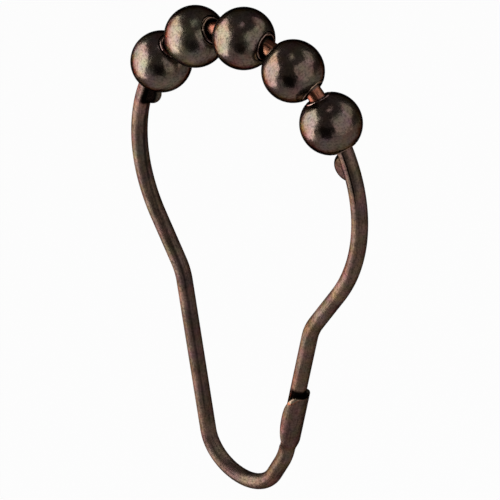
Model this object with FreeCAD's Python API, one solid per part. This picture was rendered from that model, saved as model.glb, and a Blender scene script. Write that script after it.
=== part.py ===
import FreeCAD, Part
import math
import os

# Roller hook for a shower curtain, in millimetres and degrees.
# One spring wire is bent to a pear-shaped loop that closes like a safety pin.
# Five hollow balls turn on its crown, between two ears pressed out of the wire.
# The loop lies in the X-Z plane and the rod runs along Y through the origin,
# which is the centre of the crown's bend.

# Wire and the loop's two mirrored sides, from the crown down
wire_diameter = 2.3
crown_radius = 15.9
crown_half_angle = 43.0
flank_radius = 25.4
shoulder_lean = 29.6
shoulder_length = 7.3
neck_radius = 9.0
leg_lean = 10.1
leg_length = 24.7

# Rise from the seat of the eyelet to the catch
rise_radius = 5.8
root_radius = 12.0
root_height = 3.5
root_offset = 0.2

# Catch, the far end of the wire pressed flat and rolled to a channel
sheet_thickness = 0.5
catch_clearance = 0.05
runout_length = 2.1
channel_length = 8.8
lip_reach = 0.8
lip_radius = 9.2
lip_centre = 3.9
corner_radius = 0.5

# Free tip of the wire, held in the catch
tip_gap = 0.8
tip_round = 0.45

# Ears that keep the balls on the crown
ear_thickness = 1.4
ear_rise = 1.45
left_ear_radius = 1.85
left_ear_play = 0.3
right_ear_radius = 2.15
right_ear_play = 0.48

# Hollow balls, with a rolled rim around each hole
ball_count = 5
ball_diameter = 8.5
shell_thickness = 0.45
bore_play = 0.62
rim_thickness = 0.42
rim_sink = 0.25
groove_width = 0.25
groove_depth = 0.2

# The row of balls, which are loose on the wire
ball_gap = 0.11
row_slack = 0.25
row_shift = -0.97

# Sizes worked out from the driving ones
wire_radius = wire_diameter / 2
ball_radius = ball_diameter / 2
rim_tube = rim_thickness / 2
bore_radius = wire_radius + bore_play / 2
rim_radius = bore_radius + rim_tube
rim_height = math.sqrt(ball_radius**2 - rim_radius**2) - rim_sink
channel_middle = wire_radius + catch_clearance + sheet_thickness / 2
Y_AXIS = FreeCAD.Vector(0, 1, 0)


def direction(heading):
    """Unit vector in the X-Z plane, turned clockwise from +X by heading."""
    turn = math.radians(heading)
    return FreeCAD.Vector(math.cos(turn), 0, -math.sin(turn))


def arc(first, middle, last):
    """Edge along the arc through three points."""
    return Part.Arc(first, middle, last).toShape()


def line(first, last):
    """Straight edge between two points."""
    return Part.LineSegment(first, last).toShape()


class Run:
    """One straight or bent stretch of the wire."""

    def __init__(self, start, heading, length, radius=0.0, turn=0.0):
        self.start = start
        self.heading = heading
        self.length = length
        self.radius = radius
        self.turn = turn

    def centre(self):
        """Centre of the bend, to the right of a clockwise turn."""
        side = math.copysign(90.0, self.turn)
        return self.start + direction(self.heading + side) * self.radius

    def at(self, distance):
        """Point and heading of the centre line after a distance."""
        if not self.radius:
            return self.start + direction(self.heading) * distance, self.heading
        turned = self.turn * distance / self.length
        side = math.copysign(90.0, self.turn)
        heading = self.heading + turned
        return self.centre() - direction(heading + side) * self.radius, heading

    def solid(self):
        """Round bar along the stretch."""
        circle = Part.Circle(self.start, direction(self.heading), wire_radius)
        face = Part.Face(Part.Wire(circle.toShape()))
        if not self.radius:
            return face.extrude(direction(self.heading) * self.length)
        axis = Y_AXIS * math.copysign(1.0, self.turn)
        return face.revolve(self.centre(), axis, abs(self.turn))


class WirePath:
    """Centre line made of straight runs and tangent bends."""

    def __init__(self, start, heading):
        self.end = start
        self.heading = heading
        self.runs = []

    def add(self, run):
        """Append a run and move the end of the path to its end."""
        self.runs.append(run)
        self.end, self.heading = run.at(run.length)

    def straight(self, length):
        """Go straight on."""
        self.add(Run(self.end, self.heading, length))

    def bend(self, radius, turn):
        """Turn by an angle, clockwise where it is positive."""
        length = radius * math.radians(abs(turn))
        self.add(Run(self.end, self.heading, length, radius, turn))

    def at(self, distance):
        """Point and heading after a distance from the path's start."""
        for run in self.runs:
            if distance <= run.length:
                return run.at(distance)
            distance = distance - run.length
        return run.at(run.length + distance)

    def length(self):
        """Length of the centre line."""
        return sum(run.length for run in self.runs)


def half_loop(side):
    """Side of the loop from the top of the crown to the start of the leg."""
    top = FreeCAD.Vector(0, 0, crown_radius)
    path = WirePath(top, 0.0 if side > 0 else 180.0)
    path.bend(crown_radius, side * crown_half_angle)
    path.bend(flank_radius, side * (90 + shoulder_lean - crown_half_angle))
    path.straight(shoulder_length)
    path.bend(neck_radius, side * (leg_lean - shoulder_lean))
    return path


# Free side, which goes down into the catch
free_side = half_loop(1)
leg_start = free_side.length()
closed_end = leg_start + leg_length - root_height - runout_length
channel_top = closed_end - channel_length
free_side.straight(closed_end - tip_gap - leg_start)
root_station = closed_end + runout_length

# Fixed side, which goes down to the seat and up to the root of the catch
fixed_side = half_loop(-1)
fixed_side.straight(leg_length)
seat_radius = -fixed_side.end.x / math.cos(math.radians(leg_lean))
fixed_side.bend(seat_radius, leg_lean - 90)


def leg_frame(station):
    """Point of the free leg's line, with the way into the loop."""
    point = free_side.at(leg_start)[0]
    along = direction(90 + leg_lean)
    inward = direction(180 + leg_lean)
    return point + along * (station - leg_start), inward


def add_rise():
    """Bend the wire up from the seat and join it to the root of the catch."""
    line_point, inward = leg_frame(root_station)
    root = line_point - inward * root_offset
    rise_centre = fixed_side.end + FreeCAD.Vector(0, 0, rise_radius)
    root_centre = root + inward * root_radius
    span = root_centre - rise_centre
    growth = root_radius - rise_radius
    tangent_length = math.sqrt(span.Length**2 - growth**2)
    swing = math.degrees(math.atan2(growth, tangent_length))
    rise_angle = math.degrees(math.atan2(span.z, span.x)) - swing
    fixed_side.bend(rise_radius, -rise_angle)
    fixed_side.straight(tangent_length)
    fixed_side.bend(root_radius, rise_angle - (90 - leg_lean))


add_rise()


def wire_point(station):
    """Point of the crown's wire, by its distance from the top towards +X."""
    path = free_side if station >= 0 else fixed_side
    return path.at(abs(station))[0]


# Catch: sections of the rolled sheet, lofted from the round wire to the top
outline_steps = 12
corner_steps = 4
channel_steps = 8
runout_steps = 4
outer_share = 120.0
inner_share = 146.0


def rolled_point(along, out):
    """Place on the rolled sheet, as (inward, sideways) from the wire's axis."""
    turn = along / channel_middle
    radius = channel_middle + out
    return -radius * math.cos(turn), radius * math.sin(turn)


def round_point(angle):
    """Place on the round root, by the angle from its outermost point."""
    turn = math.radians(angle)
    inward = -root_offset - wire_radius * math.cos(turn)
    return inward, wire_radius * math.sin(turn)


def wall_length(station):
    """Half of the sheet's width: its lip is an arc with a round corner."""
    off_centre = closed_end - lip_centre - station
    drop = lip_radius - math.sqrt(lip_radius**2 - off_centre**2)
    below_top = min(station - channel_top, corner_radius)
    corner = corner_radius - below_top
    corner_drop = corner_radius - math.sqrt(corner_radius**2 - corner**2)
    reach = lip_reach - drop - corner_drop
    return channel_middle * math.pi / 2 + reach


def section(station, blend):
    """Outline of the sheet at a station: blend 0 is rolled, 1 is round wire."""
    origin, inward = leg_frame(station)
    half = wall_length(min(station, closed_end))
    skin = sheet_thickness / 2

    def place(rolled, angle):
        plain = round_point(angle)
        mixed = [(1 - blend) * a + blend * b for a, b in zip(rolled, plain)]
        return origin + inward * mixed[0] + Y_AXIS * mixed[1]

    shares = [2 * i / outline_steps - 1 for i in range(outline_steps + 1)]
    outer = [place(rolled_point(s * half, skin), s * outer_share) for s in shares]
    inner_turn = 180 - inner_share
    inner = [place(rolled_point(s * half, -skin), 180 - s * inner_turn) for s in shares]
    middle = (outer_share + inner_share) / 2
    ends = [place(rolled_point(s * (half + skin), 0), s * middle) for s in (-1, 1)]
    edges = [
        face_curve(outer, blend),
        arc(outer[-1], ends[1], inner[-1]),
        face_curve(inner[::-1], blend),
        arc(inner[0], ends[0], outer[0]),
    ]
    return Part.Wire(edges)


def face_curve(points, blend):
    """Edge through the points, a true arc where the wire is round."""
    if blend == 1:
        return arc(points[0], points[len(points) // 2], points[-1])
    curve = Part.BSplineCurve()
    curve.interpolate(points)
    return curve.toShape()


def make_catch():
    """Channel with leaf-shaped walls, curled a little round the free tip."""
    sections = []
    for i in range(runout_steps):
        share = i / runout_steps
        blend = 1 - share * share * (3 - 2 * share)
        sections.append(section(root_station - share * runout_length, blend))
    corner_start = channel_top + corner_radius
    for i in range(channel_steps):
        share = i / channel_steps
        station = closed_end + share * (corner_start - closed_end)
        sections.append(section(station, 0))
    for i in range(corner_steps + 1):
        turn = math.pi / 2 * i / corner_steps
        station = corner_start - corner_radius * math.sin(turn)
        sections.append(section(station, 0))
    return Part.makeLoft(sections, True, False)


def make_ear(station, radius):
    """Rounded half disc pressed out of the wire, towards the rod."""
    point = wire_point(station)
    ahead = wire_point(station + 0.01)
    behind = wire_point(station - 0.01)
    tangent = (ahead - behind).normalize()
    inward = tangent.cross(Y_AXIS) * -1
    centre = point + inward * (wire_radius + ear_rise - radius)
    half = ear_thickness / 2
    up = Y_AXIS * half
    flat = tangent * (radius - half)
    rim = tangent * radius
    outline = Part.Wire(
        [
            line(centre - up, centre - up + flat),
            arc(centre - up + flat, centre + rim, centre + up + flat),
            line(centre + up + flat, centre + up),
            line(centre + up, centre - up),
        ]
    )
    return Part.Face(outline).revolve(centre, Y_AXIS, 180)


def rounded_tip(bar):
    """The free leg with the edge of its cut end rounded."""
    tip = free_side.end
    edges = [e for e in bar.Edges if (e.CenterOfMass - tip).Length < 0.01]
    return bar.makeFillet(tip_round, edges[:1])


def ball_pitch():
    """Distance along the crown at which neighbouring rims leave the gap."""
    centre_radius = math.sqrt(crown_radius**2 - rim_height**2)
    inner = centre_radius - rim_radius
    reach = math.hypot(inner, rim_height)
    apart = math.asin((rim_tube + ball_gap / 2) / reach)
    return 2 * crown_radius * (math.atan2(rim_height, inner) + apart)


def ball_stations():
    """Places of the balls along the crown, from the -X side."""
    middle = ball_count // 2
    pitch = ball_pitch()
    stations = [row_shift + (i - middle) * pitch for i in range(ball_count)]
    return [s - row_slack if i < middle else s for i, s in enumerate(stations)]


def ball_place(station):
    """Centre and axis of a ball whose two rims are centred on the wire."""
    back = wire_point(station - rim_height)
    front = wire_point(station + rim_height)
    return (back + front) * 0.5, (front - back).normalize()


def make_ball():
    """Hollow ball about Z: shell, grooved ends and rolled rims."""
    inner_radius = ball_radius - shell_thickness
    bore_edge = math.sqrt(inner_radius**2 - bore_radius**2)
    groove_end = rim_radius + rim_tube + groove_width
    shoulder = math.sqrt(ball_radius**2 - groove_end**2)
    groove_middle = rim_radius + rim_tube + groove_width / 2
    groove_floor = math.sqrt(ball_radius**2 - groove_middle**2) - groove_depth
    rim_foot = math.radians(-30)
    foot_radius = rim_radius + rim_tube * math.cos(rim_foot)
    foot_height = rim_height + rim_tube * math.sin(rim_foot)

    def at(radius, height):
        return FreeCAD.Vector(radius, 0, height)

    def end_profile(side):
        """Edges of one half, from the outer equator to the inner one."""
        outer_turn = math.atan2(shoulder, groove_end) / 2
        inner_turn = math.atan2(bore_edge, bore_radius) / 2
        outer_middle = at(
            ball_radius * math.cos(outer_turn), side * ball_radius * math.sin(outer_turn)
        )
        inner_middle = at(
            inner_radius * math.cos(inner_turn), side * inner_radius * math.sin(inner_turn)
        )
        groove = at(groove_end, side * shoulder)
        foot = at(foot_radius, side * foot_height)
        crest = at(rim_radius, side * (rim_height + rim_tube))
        throat = at(bore_radius, side * rim_height)
        bore = at(bore_radius, side * bore_edge)
        return [
            arc(at(ball_radius, 0), outer_middle, groove),
            arc(groove, at(groove_middle, side * groove_floor), foot),
            arc(foot, crest, throat),
            line(throat, bore),
            arc(bore, inner_middle, at(inner_radius, 0)),
        ]

    edges = end_profile(1) + end_profile(-1)
    profile = Part.Wire(Part.__sortEdges__(edges))
    axis = FreeCAD.Vector(0, 0, 1)
    return Part.Face(profile).revolve(FreeCAD.Vector(0, 0, 0), axis, 360)


def make_wire():
    """The whole spring wire: loop, ears and catch in one solid."""
    stations = ball_stations()
    half_ball = crown_radius * math.asin((rim_height + rim_tube) / crown_radius)
    left_ear = stations[0] - half_ball - left_ear_play - left_ear_radius
    right_ear = stations[-1] + half_ball + right_ear_play + right_ear_radius
    ears = [make_ear(left_ear, left_ear_radius), make_ear(right_ear, right_ear_radius)]
    bars = [run.solid() for run in free_side.runs + fixed_side.runs]
    tip_index = len(free_side.runs) - 1
    bars[tip_index] = rounded_tip(bars[tip_index])
    pieces = bars[1:] + ears + [make_catch()]
    return bars[0].fuse(pieces).removeSplitter()


def save(shape, name):
    """Write one node and print what it holds."""
    solids = shape.Solids
    assert len(solids) == 1 and solids[0].isValid(), name
    solids[0].exportStep("parts/" + name + ".step")
    box = solids[0].BoundBox
    spans = [box.XMin, box.XMax, box.YMin, box.YMax, box.ZMin, box.ZMax]
    print(name, "volume", round(solids[0].Volume, 2), [round(s, 2) for s in spans])


os.makedirs("parts", exist_ok=True)
save(make_wire(), "wire_hook")
for number, station in enumerate(ball_stations(), start=1):
    centre, axis = ball_place(station)
    turn = FreeCAD.Rotation(FreeCAD.Vector(0, 0, 1), axis)
    ball = make_ball()
    ball.Placement = FreeCAD.Placement(centre, turn)
    save(ball, "roller_ball_" + str(number))
    print("  centre", [round(c, 4) for c in centre], "axis", [round(a, 5) for a in axis])
print("seat radius", round(seat_radius, 3), "wire length", round(free_side.length() + fixed_side.length(), 2))
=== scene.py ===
import logging
import math
from dataclasses import dataclass, field
from enum import Enum
from typing import Callable, Iterable, NamedTuple, Sequence, Union

import bmesh
import bpy
from mathutils import Matrix, Vector


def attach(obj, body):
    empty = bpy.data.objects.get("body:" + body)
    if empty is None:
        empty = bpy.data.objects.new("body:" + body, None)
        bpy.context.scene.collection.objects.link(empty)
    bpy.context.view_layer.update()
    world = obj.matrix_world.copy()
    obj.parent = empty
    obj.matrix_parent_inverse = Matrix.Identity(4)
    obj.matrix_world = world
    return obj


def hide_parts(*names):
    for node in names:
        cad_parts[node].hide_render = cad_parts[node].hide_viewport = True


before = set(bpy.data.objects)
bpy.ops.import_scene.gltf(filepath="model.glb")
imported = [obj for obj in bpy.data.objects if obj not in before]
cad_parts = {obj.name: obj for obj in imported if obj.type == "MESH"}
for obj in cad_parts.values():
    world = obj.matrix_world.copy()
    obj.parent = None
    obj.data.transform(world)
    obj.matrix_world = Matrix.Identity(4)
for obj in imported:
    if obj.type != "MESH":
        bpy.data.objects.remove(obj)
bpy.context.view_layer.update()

LOG = logging.getLogger("roller_hook")
MM = 0.001
Y_AXIS = Vector((0.0, 1.0, 0.0))
MERGE_DISTANCE = 0.002 * MM
Colour = tuple[float, float, float]
Way = tuple[float, float, float]
Value = Union["Tap", float, int, Sequence[float]]


class Body(Enum):
    """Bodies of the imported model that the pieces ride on."""

    HOOK = "hook"
    ROLLER = "roller_{number}"


class Side(Enum):
    """The two sides of the loop, by the sign of X."""

    FREE = 1
    FIXED = -1


class Fade(NamedTuple):
    """A smooth step between two values."""

    low: float
    high: float

    def rise(self, value: float) -> float:
        """0 up to the low value and 1 from the high one on."""
        share = min(1.0, max(0.0, (value - self.low) / (self.high - self.low)))
        return share * share * (3 - 2 * share)

    def fall(self, value: float) -> float:
        """1 up to the low value and 0 from the high one on."""
        return 1.0 - self.rise(value)


# Shader expressions


class Tap:
    """An output socket that takes part in Python expressions."""

    def __init__(self, graph: "Graph", socket: bpy.types.NodeSocket) -> None:
        """Wrap a socket of a graph."""
        self.graph = graph
        self.socket = socket

    def _math(self, operation: str, first: Value, second: Value) -> "Tap":
        """Add a Math node for one operation on two values."""
        settings = {"operation": operation}
        return self.graph.add("ShaderNodeMath", settings, {0: first, 1: second})

    def __add__(self, other: Value) -> "Tap":
        """Sum."""
        return self._math("ADD", self, other)

    def __radd__(self, other: Value) -> "Tap":
        """Sum, from the right."""
        return self._math("ADD", other, self)

    def __sub__(self, other: Value) -> "Tap":
        """Difference."""
        return self._math("SUBTRACT", self, other)

    def __rsub__(self, other: Value) -> "Tap":
        """Difference, from the right."""
        return self._math("SUBTRACT", other, self)

    def __mul__(self, other: Value) -> "Tap":
        """Product."""
        return self._math("MULTIPLY", self, other)

    def __rmul__(self, other: Value) -> "Tap":
        """Product, from the right."""
        return self._math("MULTIPLY", other, self)


class Graph:
    """The node tree of one material, lamp or world."""

    def __init__(self, tree: bpy.types.NodeTree) -> None:
        """Empty the tree and keep it."""
        self.tree = tree
        tree.nodes.clear()

    def add(self, kind: str, settings: dict, inputs: dict, output: Union[int, str] = 0) -> Tap:
        """Add any node.

        Args:
            kind: The node's type, such as ShaderNodeTexNoise.
            settings: Properties set first; "stops" fills a colour ramp.
            inputs: A value or a Tap for each input, by name or number.
            output: Which output is handed back.

        Returns:
            The chosen output.
        """
        node = self.tree.nodes.new(kind)
        for name, value in settings.items():
            if name == "stops":
                self._fill_ramp(node.color_ramp, value)
            else:
                setattr(node, name, value)
        for key, value in inputs.items():
            if isinstance(value, Tap):
                self.tree.links.new(value.socket, node.inputs[key])
            else:
                node.inputs[key].default_value = value
        return Tap(self, node.outputs[output]) if len(node.outputs) else Tap(self, None)

    @staticmethod
    def _fill_ramp(ramp: bpy.types.ColorRamp, stops: Sequence[tuple]) -> None:
        """Give a colour ramp its stops.

        Args:
            ramp: The node's colour ramp.
            stops: A position and a grey or a colour for each stop.
        """
        while len(ramp.elements) > 1:
            ramp.elements.remove(ramp.elements[-1])
        for i, (position, shade) in enumerate(stops):
            element = ramp.elements[0] if i == 0 else ramp.elements.new(position)
            element.position = position
            colour = (shade,) * 3 if isinstance(shade, (int, float)) else shade
            element.color = (*colour, 1.0)

    def place(self) -> Tap:
        """Object coordinates."""
        return self.add("ShaderNodeTexCoord", {}, {}, "Object")

    def noise(self, where: Tap, scale: float, detail: float = 2.0, rough: float = 0.5) -> Tap:
        """Noise of a given number of cells to the metre."""
        sizes = {"Vector": where, "Scale": scale, "Detail": detail, "Roughness": rough}
        return self.add("ShaderNodeTexNoise", {}, sizes)

    def ramp(self, factor: Tap, fade: Fade) -> Tap:
        """Smooth step of a value."""
        settings = {"interpolation_type": "SMOOTHSTEP"}
        return self.add("ShaderNodeMapRange", settings, {0: factor, 1: fade.low, 2: fade.high})

    def mix(self, factor: Value, first: Value, second: Value, blend: str = "MIX") -> Tap:
        """Blend of two colours."""
        settings = {"data_type": "RGBA", "blend_type": blend}
        return self.add("ShaderNodeMix", settings, {0: factor, 6: first, 7: second}, 2)

    def attribute(self, name: str, output: str) -> Tap:
        """A value that the mesh carries."""
        return self.add("ShaderNodeAttribute", {"attribute_name": name}, {}, output)


# Finishes


def rgba(colour: Colour) -> tuple[float, float, float, float]:
    """Colour with full alpha."""
    return (*colour, 1.0)


def new_material(name: str) -> tuple[bpy.types.Material, Graph]:
    """Start a node material.

    Args:
        name: The material's name.

    Returns:
        The material and its empty graph.
    """
    made = bpy.data.materials.new(name)
    made.use_nodes = True
    return made, Graph(made.node_tree)


@dataclass(frozen=True)
class BronzeFinish:
    """Oil-rubbed bronze plating: a dark film, brown clouds and rubbed edges.

    The meshes carry three values: one is 1 where handling wears the film
    away and 2 on edges where a highlight is painted, one is 1 where painted
    shade and painted dark reflections make the surface black, and "grain"
    holds coordinates that follow the way the metal was drawn.
    """

    name: str
    film: Colour
    cloud: Colour
    tarnish: Colour
    rubbed: Colour
    # Painted highlight colour, used where the wear value goes past 1.
    painted_highlight: Colour
    # Black of pores and streaks, also used for painted shade.
    pore_and_shade_black: Colour
    edge_tint: Colour
    roughness: float
    cloud_scale: float
    grain_strength: float
    dent_scale: float
    dent_depth: float
    cloud_edge: Fade = Fade(0.36, 0.66)
    spots_per_cloud: float = 2.3
    spot_edge: Fade = Fade(0.52, 0.74)
    spot_share: float = 0.55
    patch_scale: float = 1300.0
    wear_edge: Fade = Fade(0.42, 0.78)
    wear_scatter: float = 0.55
    highlight_edge: Fade = Fade(1.0, 1.5)
    tint_scale: float = 520.0
    tint_share: float = 0.42
    speckle_scale: float = 3200.0
    speckle_edge: Fade = Fade(0.42, 0.7)
    speckle_share: float = 0.5
    streak_edge: Fade = Fade(0.46, 0.66)
    streak_share: float = 0.4
    # Painted shade and painted dark reflections fade in over this range.
    painted_shade_edge: Fade = Fade(0.15, 0.85)
    painted_shade_scatter: float = 0.3
    speckle_rough: float = 0.2
    cloud_rough: float = 0.07
    grain_rough: float = 0.1
    wear_shine: float = 0.18
    fine_strength: float = 0.7
    fine_depth: float = 0.026 * MM
    speckle_height: float = 0.35
    cloud_height: float = 0.2

    def material(self) -> bpy.types.Material:
        """Build the node material.

        Returns:
            The material.
        """
        made, graph = new_material(self.name)
        where = graph.place()
        clouds = graph.ramp(graph.noise(where, self.cloud_scale, 3.0, 0.55), self.cloud_edge)
        patch = graph.noise(where, self.patch_scale, 3.0, 0.6) - 0.5
        speckle = graph.noise(where, self.speckle_scale, 3.0, 0.65)
        grain = graph.noise(graph.attribute("grain", "Vector"), 1.0, 2.0, 0.6)
        wear_and_highlight = graph.attribute("wear_and_highlight", "Fac")
        worn = graph.ramp(wear_and_highlight + patch * self.wear_scatter, self.wear_edge)
        colour = self._plating(graph, where, clouds)
        colour = graph.mix(worn, colour, rgba(self.rubbed))
        # Painted highlight where the wear value goes past 1.
        colour = graph.mix(graph.ramp(wear_and_highlight, self.highlight_edge), colour, rgba(self.painted_highlight))
        colour = self._blacken(graph, self._tint(graph, where, colour), patch, speckle, grain)
        rough = self.roughness + (speckle - 0.5) * self.speckle_rough
        rough = rough + (clouds - 0.5) * self.cloud_rough
        rough = rough + (grain - 0.5) * self.grain_rough - worn * self.wear_shine
        height = speckle * self.speckle_height + grain * self.grain_strength
        height = height + clouds * self.cloud_height
        inputs = {
            "Base Color": colour,
            "Metallic": 1.0,
            "Roughness": rough,
            "Specular Tint": rgba(self.edge_tint),
            "Normal": self._relief(graph, where, height),
        }
        metal = graph.add("ShaderNodeBsdfPrincipled", {}, inputs)
        graph.add("ShaderNodeOutputMaterial", {}, {"Surface": metal})
        return made

    def _plating(self, graph: Graph, where: Tap, clouds: Tap) -> Tap:
        """Dark film with brown clouds and spots of tarnish.

        Args:
            graph: The material's graph.
            where: The place on the piece.
            clouds: Where the clouds are.

        Returns:
            The colour of the sound plating.
        """
        noise = graph.noise(where, self.cloud_scale * self.spots_per_cloud, 2.0)
        spots = graph.ramp(noise, self.spot_edge)
        colour = graph.mix(clouds, rgba(self.film), rgba(self.cloud))
        return graph.mix(spots * self.spot_share, colour, rgba(self.tarnish))

    def _tint(self, graph: Graph, where: Tap, colour: Tap) -> Tap:
        """Faint shifts of hue from place to place.

        Args:
            graph: The material's graph.
            where: The place on the piece.
            colour: The colour so far.

        Returns:
            The tinted colour.
        """
        inputs = {"Vector": where, "Scale": self.tint_scale, "Detail": 3.0}
        hues = graph.add("ShaderNodeTexNoise", {}, inputs, "Color")
        return graph.mix(self.tint_share, colour, hues, "SOFT_LIGHT")

    def _blacken(self, graph: Graph, colour: Tap, patch: Tap, speckle: Tap, grain: Tap) -> Tap:
        """Black pores, drawing streaks and painted shade.

        Args:
            graph: The material's graph.
            colour: The colour so far.
            patch: Coarse scatter round zero.
            speckle: Fine scatter.
            grain: Scatter along the drawn metal.

        Returns:
            The finished colour.
        """
        black = rgba(self.pore_and_shade_black)
        # Painted shade and painted dark reflections carried by the mesh, scattered a little.
        scattered = graph.attribute("painted_shade", "Fac") + patch * self.painted_shade_scatter
        pores = graph.ramp(speckle, self.speckle_edge) * self.speckle_share
        streaks = graph.ramp(grain, self.streak_edge) * (self.grain_strength * self.streak_share)
        colour = graph.mix(pores, colour, black)
        colour = graph.mix(streaks, colour, black)
        return graph.mix(graph.ramp(scattered, self.painted_shade_edge), colour, black)

    def _relief(self, graph: Graph, where: Tap, height: Tap) -> Tap:
        """Shallow dents with a fine relief over them.

        Args:
            graph: The material's graph.
            where: The place on the piece.
            height: The fine relief.

        Returns:
            The bent normal.
        """
        dents = graph.noise(where, self.dent_scale, 3.0, 0.5)
        coarse = {"Strength": 1.0, "Distance": self.dent_depth, "Height": dents}
        waves = graph.add("ShaderNodeBump", {}, coarse)
        fine = {"Strength": self.fine_strength, "Distance": self.fine_depth, "Height": height}
        return graph.add("ShaderNodeBump", {}, {**fine, "Normal": waves})


WIRE_BRONZE = BronzeFinish(
    name="drawn_wire_bronze",
    film=(0.140, 0.086, 0.066),
    cloud=(0.206, 0.134, 0.103),
    tarnish=(0.152, 0.114, 0.090),
    rubbed=(0.275, 0.108, 0.068),
    # Painted highlight on the catch's top corner.
    painted_highlight=(0.240, 0.180, 0.132),
    pore_and_shade_black=(0.004, 0.0028, 0.0025),
    edge_tint=(0.07, 0.08, 0.08),
    roughness=0.46,
    cloud_scale=260.0,
    grain_strength=0.9,
    dent_scale=420.0,
    dent_depth=0.03 * MM,
)
BALL_BRONZE = BronzeFinish(
    name="pressed_ball_bronze",
    film=(0.140, 0.098, 0.080),
    cloud=(0.180, 0.141, 0.112),
    tarnish=(0.172, 0.088, 0.066),
    rubbed=(0.300, 0.190, 0.150),
    painted_highlight=(0.600, 0.460, 0.340),
    pore_and_shade_black=(0.008, 0.004, 0.0035),
    edge_tint=(0.07, 0.08, 0.08),
    roughness=0.23,
    cloud_scale=205.0,
    grain_strength=0.35,
    dent_scale=520.0,
    dent_depth=0.13 * MM,
)


# Modelling in edit mode


class Bench:
    """Edit-mode operations on one new mesh, as done by hand."""

    def __init__(self, name: str) -> None:
        """Keep the name that the finished piece gets."""
        self.name = name

    def start_ring(self, vertices: int, radius: float, centre: Vector, turn: tuple) -> None:
        """Begin with a circle.

        Args:
            vertices: How many points it has.
            radius: Its radius.
            centre: Its centre.
            turn: Its rotation about X, Y and Z.
        """
        self._clear_selection()
        bpy.ops.mesh.primitive_circle_add(
            vertices=vertices, radius=radius, location=centre, rotation=turn
        )
        self._settle()

    def start_point(self, place: Vector) -> None:
        """Begin with a single point.

        Args:
            place: Where it lies.
        """
        self._clear_selection()
        bpy.ops.mesh.primitive_plane_add(size=MM, location=place)
        self._settle()
        bpy.ops.mesh.merge(type="CENTER")

    @staticmethod
    def _clear_selection() -> None:
        """Deselect every object."""
        bpy.ops.object.select_all(action="DESELECT")

    def _settle(self) -> None:
        """Apply the primitive's place and open it in edit mode."""
        made = bpy.context.active_object
        made.name = self.name
        made.data.name = self.name
        bpy.ops.object.transform_apply(location=True, rotation=True, scale=True)
        bpy.ops.object.mode_set(mode="EDIT")
        bpy.ops.mesh.select_all(action="SELECT")

    @staticmethod
    def draw(step: Vector) -> None:
        """Extrude what is selected along a step."""
        bpy.ops.mesh.extrude_region_move(TRANSFORM_OT_translate={"value": tuple(step)})

    @staticmethod
    def spin(centre: Vector, axis: Vector, angle: float, steps: int) -> None:
        """Extrude what is selected round an axis, by the right-hand rule."""
        bpy.ops.mesh.spin(
            steps=steps, angle=-angle, center=tuple(centre), axis=tuple(axis), dupli=False
        )

    @staticmethod
    def cap() -> None:
        """Merge doubles and close the open rim with one face."""
        bpy.ops.mesh.select_all(action="SELECT")
        bpy.ops.mesh.remove_doubles(threshold=MERGE_DISTANCE)
        bpy.ops.mesh.select_all(action="DESELECT")
        bpy.ops.mesh.select_mode(type="VERT")
        bpy.ops.mesh.select_non_manifold()
        bpy.ops.mesh.edge_face_add()

    @staticmethod
    def select(test: Callable[[Vector], bool]) -> None:
        """Select the points that pass a test.

        Args:
            test: Says whether a place is wanted.
        """
        mesh = bmesh.from_edit_mesh(bpy.context.edit_object.data)
        for vertex in mesh.verts:
            vertex.select = test(vertex.co)
        mesh.select_mode = {"VERT"}
        mesh.select_flush_mode()
        bmesh.update_edit_mesh(bpy.context.edit_object.data)

    @staticmethod
    def move_ring(places: Sequence[Vector]) -> None:
        """Extrude the selected ring and put each point of the new one in place."""
        bpy.ops.mesh.extrude_region_move(TRANSFORM_OT_translate={"value": (0, 0, 0)})
        Bench.place_ring(places)

    @staticmethod
    def number_spokes() -> None:
        """Number the selected ring's points in their order."""
        mesh = bmesh.from_edit_mesh(bpy.context.edit_object.data)
        spoke = mesh.verts.layers.int.new("spoke")
        mesh.verts.index_update()
        for vertex in mesh.verts:
            vertex[spoke] = vertex.index
        bmesh.update_edit_mesh(bpy.context.edit_object.data)

    @staticmethod
    def place_ring(places: Sequence[Vector]) -> None:
        """Put each point of the selected ring in place.

        Args:
            places: One place for each spoke, in their order.
        """
        mesh = bmesh.from_edit_mesh(bpy.context.edit_object.data)
        spoke = mesh.verts.layers.int["spoke"]
        for vertex in mesh.verts:
            if vertex.select:
                vertex.co = places[vertex[spoke]]
        bmesh.update_edit_mesh(bpy.context.edit_object.data)

    @staticmethod
    def finish() -> bpy.types.Object:
        """Merge doubles, turn the faces outwards and leave edit mode.

        Returns:
            The finished object.
        """
        bpy.ops.mesh.select_all(action="SELECT")
        bpy.ops.mesh.remove_doubles(threshold=MERGE_DISTANCE)
        bpy.ops.mesh.normals_make_consistent(inside=False)
        bpy.ops.object.mode_set(mode="OBJECT")
        return bpy.context.active_object


def pick(piece: bpy.types.Object) -> None:
    """Select one object alone and make it the active one.

    Args:
        piece: The object.
    """
    bpy.ops.object.select_all(action="DESELECT")
    piece.select_set(True)
    bpy.context.view_layer.objects.active = piece


def shade(piece: bpy.types.Object, angle: float) -> None:
    """Shade smooth, apart from edges sharper than an angle in degrees."""
    pick(piece)
    bpy.ops.object.shade_smooth_by_angle(angle=math.radians(angle))


def carry(piece: bpy.types.Object, name: str, kind: str, values: Iterable) -> None:
    """Store one value at each point of a mesh.

    Args:
        piece: The object.
        name: The attribute's name.
        kind: FLOAT or FLOAT_VECTOR.
        values: One value for each point, in order.
    """
    made = piece.data.attributes.new(name, kind, "POINT")
    for item, value in zip(made.data, values):
        if kind == "FLOAT":
            item.value = value
        else:
            item.vector = value


# The wire's line


def direction(heading: float) -> Vector:
    """Unit vector in the X-Z plane, turned clockwise from +X by degrees."""
    turn = math.radians(heading)
    return Vector((math.cos(turn), 0.0, -math.sin(turn)))


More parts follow.
